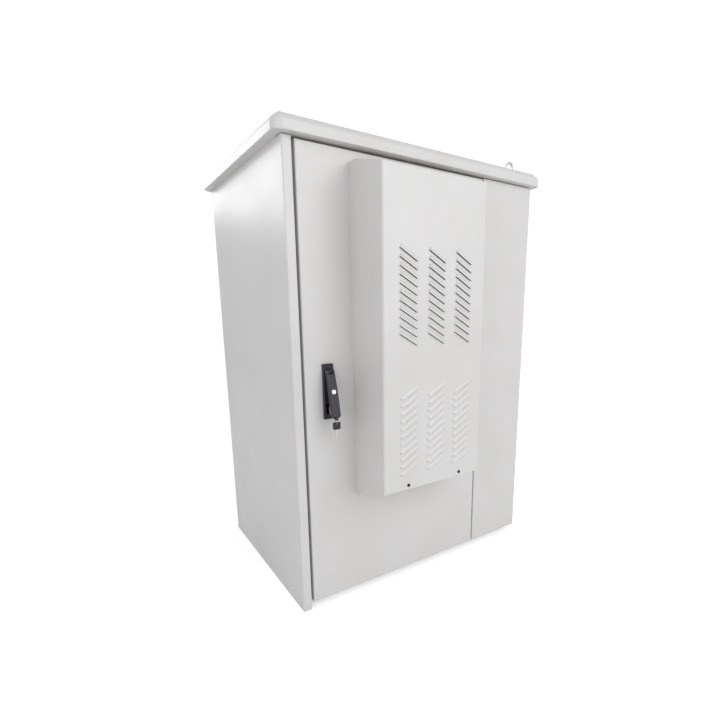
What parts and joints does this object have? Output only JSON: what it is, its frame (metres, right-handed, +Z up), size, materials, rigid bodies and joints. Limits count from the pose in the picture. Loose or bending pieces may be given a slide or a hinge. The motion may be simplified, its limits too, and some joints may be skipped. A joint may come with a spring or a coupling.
{
  "type": "roadside utility cabinet",
  "caption": "Free-standing outdoor equipment cabinet with an overhanging roof, a hinged door carrying a louvred cooling unit and a swing handle, a fixed front strip and a rack inside.",
  "frame": {"origin": "centre of the four anchor holes in the base frame, on the ground", "axes": "+Z up; the door faces -Y; +X is to the right as one faces the door"},
  "size_m": [1.046, 0.9125, 1.4929],
  "materials": {
    "powder_coat": "light grey powder coat, satin",
    "zinc_steel": "zinc-plated steel",
    "handle_black": "black powder-coated zinc die casting, satin",
    "black_plastic": "black moulded plastic",
    "seal_rubber": "black foamed rubber",
    "nickel": "nickel plate",
    "black_screw": "black-oxide screw",
    "core_alloy": "thin aluminium plates",
    "copper_bar": "tinned copper alloy bar",
    "insulator_red": "moulded resin",
    "terminal_grey": "grey polyamide"
  },
  "bodies": {
    "cabinet": {"left_side_panel": "powder_coat", "right_side_panel": "powder_coat", "rear_panel": "powder_coat", "ceiling_plate": "powder_coat", "roof_canopy": "powder_coat", "front_frame": "powder_coat", "fixed_front_panel": "powder_coat", "rear_screws": "zinc_steel", "base_frame": "zinc_steel", "floor_plate": "zinc_steel", "gland_plate": "zinc_steel", "roof_bearers": "zinc_steel", "lifting_eyes": "zinc_steel", "roof_bolts": "zinc_steel", "roof_nuts": "zinc_steel", "hinge_brackets": "zinc_steel", "hinge_screws": "zinc_steel", "rack_beams": "zinc_steel", "rail_front_left": "zinc_steel", "rail_front_right": "zinc_steel", "rail_rear_left": "zinc_steel", "rail_rear_right": "zinc_steel", "equipment_shelf": "zinc_steel", "cable_ladder": "zinc_steel", "din_rail": "zinc_steel", "gland_grommets": "seal_rubber", "terminal_blocks": "terminal_grey", "earth_bar": "copper_bar", "earth_insulators": "insulator_red"},
    "door": {"door_panel": "powder_coat", "climate_cover": "powder_coat", "door_gasket": "seal_rubber", "door_stiffeners": "zinc_steel", "hinge_lugs": "zinc_steel", "hinge_pins": "zinc_steel", "cover_posts": "zinc_steel", "climate_housing": "zinc_steel", "fan_plate": "zinc_steel", "climate_controller": "zinc_steel", "rod_guides": "black_plastic", "document_pocket": "black_plastic", "outer_fan_frame": "black_plastic", "inner_fan_frame": "black_plastic", "handle_base": "handle_black", "cover_screws": "black_screw", "exchanger_core": "core_alloy"},
    "outer_fan": {"outer_fan_rotor": "black_plastic"},
    "inner_fan": {"inner_fan_rotor": "black_plastic"},
    "spindle": {"handle_spindle": "handle_black", "crank_disc": "zinc_steel"},
    "upper_bolt": {"upper_rod": "zinc_steel"},
    "lower_bolt": {"lower_rod": "zinc_steel"},
    "lever": {"handle_lever": "handle_black", "lever_pin": "zinc_steel", "lever_catch": "nickel"},
    "lock": {"lock_cylinder": "nickel"},
    "key": {"key_ring": "nickel", "key_blade": "nickel", "key_head": "black_plastic"}
  },
  "joints": [
    {"name": "door_swing", "type": "hinge", "parent": "cabinet", "child": "door", "pos_m": [0.233, -0.352, 0.7], "axis": [0, 0, 1], "range_deg": [0, 105]},
    {"name": "outer_fan_spin", "type": "hinge", "parent": "door", "child": "outer_fan", "pos_m": [-0.103, -0.449, 0.5], "axis": [0, 1, 0], "continuous": true},
    {"name": "inner_fan_spin", "type": "hinge", "parent": "door", "child": "inner_fan", "pos_m": [-0.103, -0.321, 1.224], "axis": [0, 1, 0], "continuous": true},
    {"name": "handle_turn", "type": "hinge", "parent": "door", "child": "spindle", "pos_m": [-0.386, -0.36, 0.771], "axis": [0, 1, 0], "range_deg": [0, 90]},
    {"name": "upper_bolt_slide", "type": "slide", "parent": "door", "child": "upper_bolt", "axis": [0, 0, 1], "range_m": [0, 0.0199]},
    {"name": "lower_bolt_slide", "type": "slide", "parent": "door", "child": "lower_bolt", "axis": [0, 0, -1], "range_m": [0, 0.0199]},
    {"name": "lever_lift", "type": "hinge", "parent": "spindle", "child": "lever", "pos_m": [-0.386, -0.377, 0.771], "axis": [-1, 0, 0], "range_deg": [-14, 21]},
    {"name": "lock_turn", "type": "hinge", "parent": "lever", "child": "lock", "pos_m": [-0.386, -0.39394, 0.71133], "axis": [0, -0.9703, 0.2419], "range_deg": [0, 90]},
    {"name": "key_swing", "type": "hinge", "parent": "lever", "child": "key", "pos_m": [-0.386, -0.41208, 0.63031], "axis": [-1, 0, 0], "range_deg": [0, 20]}
  ],
  "couplings": [
    {"joint": "upper_bolt_slide", "follows": "handle_turn", "m_per_rad": 0.012604},
    {"joint": "lower_bolt_slide", "follows": "handle_turn", "m_per_rad": 0.012604}
  ]
}
